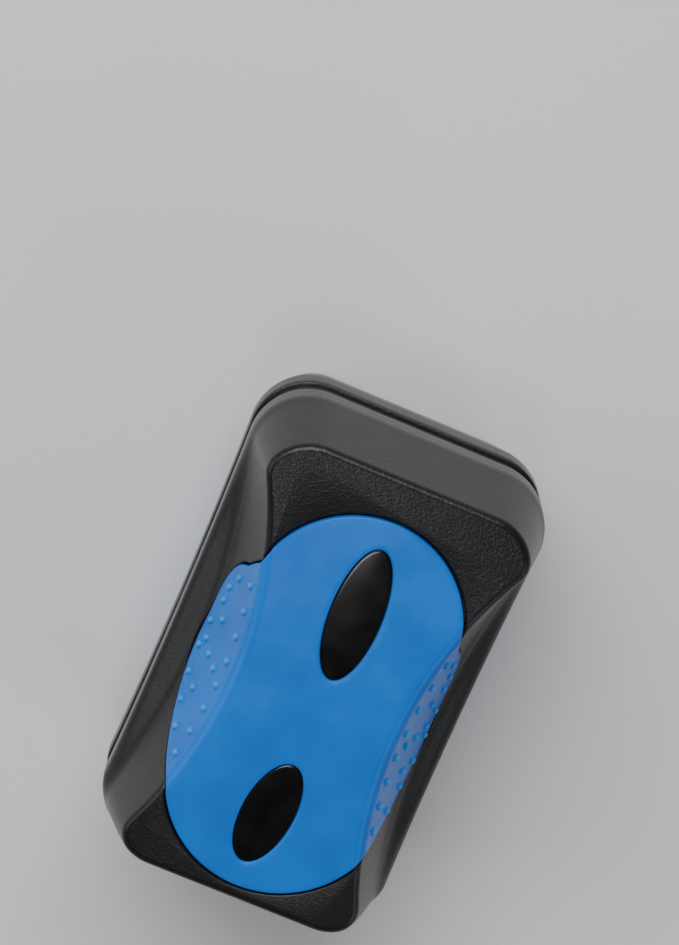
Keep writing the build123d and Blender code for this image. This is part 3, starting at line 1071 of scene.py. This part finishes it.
# CAD nodes that show their own solids, by the end of their names
KEPT_NODES = {
    "base_plate": "plate",
    "base_screws": "screws",
    "magnet_front": "ferrite",
    "magnet_rear": "ferrite",
    "yoke_plate": "yoke",
    "pad_adhesive": "adhesive",
}


# ---- the object

def coat_node(node, material):
    """Gives a CAD node that stays in view its material."""
    for slot in bpy.data.objects[node].material_slots:
        slot.material = material


def cut(piece, cutter):
    """Cuts one mesh out of another for good."""
    modifier = piece.modifiers.new("recess", "BOOLEAN")
    modifier.operation = "DIFFERENCE"
    modifier.solver = "EXACT"
    modifier.object = cutter
    bpy.context.view_layer.update()
    graph = bpy.context.evaluated_depsgraph_get()
    mesh = bpy.data.meshes.new_from_object(piece.evaluated_get(graph))
    piece.modifiers.clear()
    piece.data = mesh
    bpy.data.objects.remove(cutter)


def build_half(half, forms):
    """One half's shell, cover, inlays and foam."""
    housing = mesh_piece(f"{half}_housing_shell", *forms["housing"], half)
    for name in ("recess", "lip"):
        cutter_points, cutter_faces, _ = forms[name]
        cut(housing, mesh_piece(name, cutter_points, cutter_faces, half))
    finish_piece(housing, half, "housing", [f"{half}_housing"], 35)
    cover_points, cover_faces, raised = forms["cover"]
    cover = mesh_piece(f"{half}_grip_skin", cover_points, cover_faces, half)
    # the dots' heights, from which the grip's material paints a highlight on their tops
    cover.data.attributes.new("raised", "FLOAT", "POINT").data.foreach_set("value", raised / DOT_HEIGHT)
    finish_piece(cover, half, "grip", [f"{half}_grip_cover"], 50)
    for name, size in OVALS.items():
        inlay = mesh_piece(f"{half}_{name}_oval_plug", *make_inlay_solid(size), half)
        finish_piece(inlay, half, "inlay", [f"{half}_{name}_oval_inlay"], 50)
    foam = mesh_piece(f"{half}_foam_block", *make_foam_solid(half), half)
    finish_piece(foam, half, "foam", [FOAM_NODES[half]], 60)


def build_pads():
    """The dry half's felt and the wet half's hooked scrubbing pad."""
    rng = np.random.default_rng(7)
    felt = mesh_piece("outer_felt_sheet", *make_pad_solid(0.02, FELT_HIGH.z, 0.35, 0.05), "outer")
    finish_piece(felt, "outer", "felt", ["outer_felt_pad"], 60)
    fuzz = mesh_piece("outer_felt_fuzz", *make_fuzz(rng, 0.0, FELT_HIGH.z), "outer")
    finish_piece(fuzz, "outer", "felt", [], 60)
    pad = make_pad_solid(BACKING_LOW, FELT_HIGH.z, 0.2, 0.02)
    backing = mesh_piece("inner_scrub_backing", *pad, "inner")
    finish_piece(backing, "inner", "scrub", ["inner_scrub_pad"], 60)
    hooks = mesh_piece("inner_scrub_hooks", *make_hooks(rng, -1.4, -0.04), "inner", in_place=True)
    finish_piece(hooks, "inner", "scrub", [], 60)


FORMS = {
    "housing": make_housing_form(),
    "recess": make_recess_solid(),
    "lip": make_lip_solid(),
    "cover": make_cover_solid(),
}
for half in HALVES:
    build_half(half, FORMS)
build_pads()

for half in HALVES:
    for name, finish in KEPT_NODES.items():
        coat_node(f"{half}_{name}", FINISHES[finish])
coat_node("inner_seal_ring", FINISHES["seal"])


# ---- floor, light and camera

def build_floor():
    """A wide plain floor at the lowest point of the object."""
    reach = 3.0
    signs = ((-1, -1), (1, -1), (1, 1), (-1, 1))
    mesh = bpy.data.meshes.new("studio_floor")
    mesh.from_pydata([(x * reach, y * reach, FLOOR_Z) for x, y in signs], [], [(0, 1, 2, 3)])
    floor = bpy.data.objects.new("studio_floor", mesh)
    bpy.context.scene.collection.objects.link(floor)
    mesh.materials.append(floor_paint())


def build_light(name, place, size, power):
    """A soft white light that points at the object."""
    lamp = bpy.data.lights.new(name, "AREA")
    lamp.shape = "RECTANGLE"
    lamp.size, lamp.size_y = size
    lamp.energy = power
    light = bpy.data.objects.new(name, lamp)
    light.location = place
    light.rotation_euler = Vector(place).to_track_quat("Z", "Y").to_euler()
    bpy.context.scene.collection.objects.link(light)


def build_world():
    """A sky that is pale near the horizon, as behind a studio table, and dim overhead."""
    world = bpy.data.worlds.new("studio")
    world.use_nodes = True
    tree = world.node_tree
    background = tree.nodes["Background"]
    background.inputs["Color"].default_value = (0.94, 0.96, 1.0, 1)
    direction = tree.nodes.new("ShaderNodeTexCoord").outputs["Generated"]
    parts = tree.nodes.new("ShaderNodeSeparateXYZ")
    fade = tree.nodes.new("ShaderNodeMapRange")
    fade.interpolation_type = "SMOOTHSTEP"
    for name, value in (("From Min", 0.1), ("From Max", 0.5), ("To Min", 0.42), ("To Max", 0.05)):
        fade.inputs[name].default_value = value
    tree.links.new(direction, parts.inputs["Vector"])
    tree.links.new(parts.outputs["Z"], fade.inputs["Value"])
    tree.links.new(fade.outputs["Result"], background.inputs["Strength"])
    bpy.context.scene.world = world


def build_camera():
    """The camera looks down on the grip face, tilted towards the big end and shifted to frame it low down."""
    heading, tilt = math.radians(23.1), math.radians(14.4)
    level_up = Vector((-math.sin(heading), math.cos(heading), 0))
    back = level_up * math.sin(tilt) + Vector((0, 0, math.cos(tilt)))
    up = level_up * math.cos(tilt) - Vector((0, 0, math.sin(tilt)))
    right = up.cross(back)
    aim = Vector((0, 0, COVER_HIGH.z * MM))
    distance, right_share, up_share = 0.6, 0.00595, 0.0706
    camera = bpy.data.objects.new("camera", bpy.data.cameras.new("camera"))
    camera.data.lens = 120.3
    camera.data.sensor_width = 36
    camera.data.clip_start = 0.01
    turn = Matrix((right, up, back)).transposed().to_4x4()
    place = aim + distance * (back + right_share * right + up_share * up)
    camera.matrix_world = Matrix.Translation(place) @ turn
    bpy.context.scene.collection.objects.link(camera)
    bpy.context.scene.camera = camera


build_floor()
build_light("top_window", (-0.3, 0.62, 0.8), (0.9, 0.6), 11.0)
build_light("left_fill", (-0.8, -0.1, 0.5), (0.6, 0.6), 2.2)
build_light("right_fill", (0.75, -0.3, 0.6), (0.5, 0.5), 1.5)
build_light("sheen", (0.01, -0.12, 0.83), (0.1, 0.1), 0.5)
build_camera()
build_world()
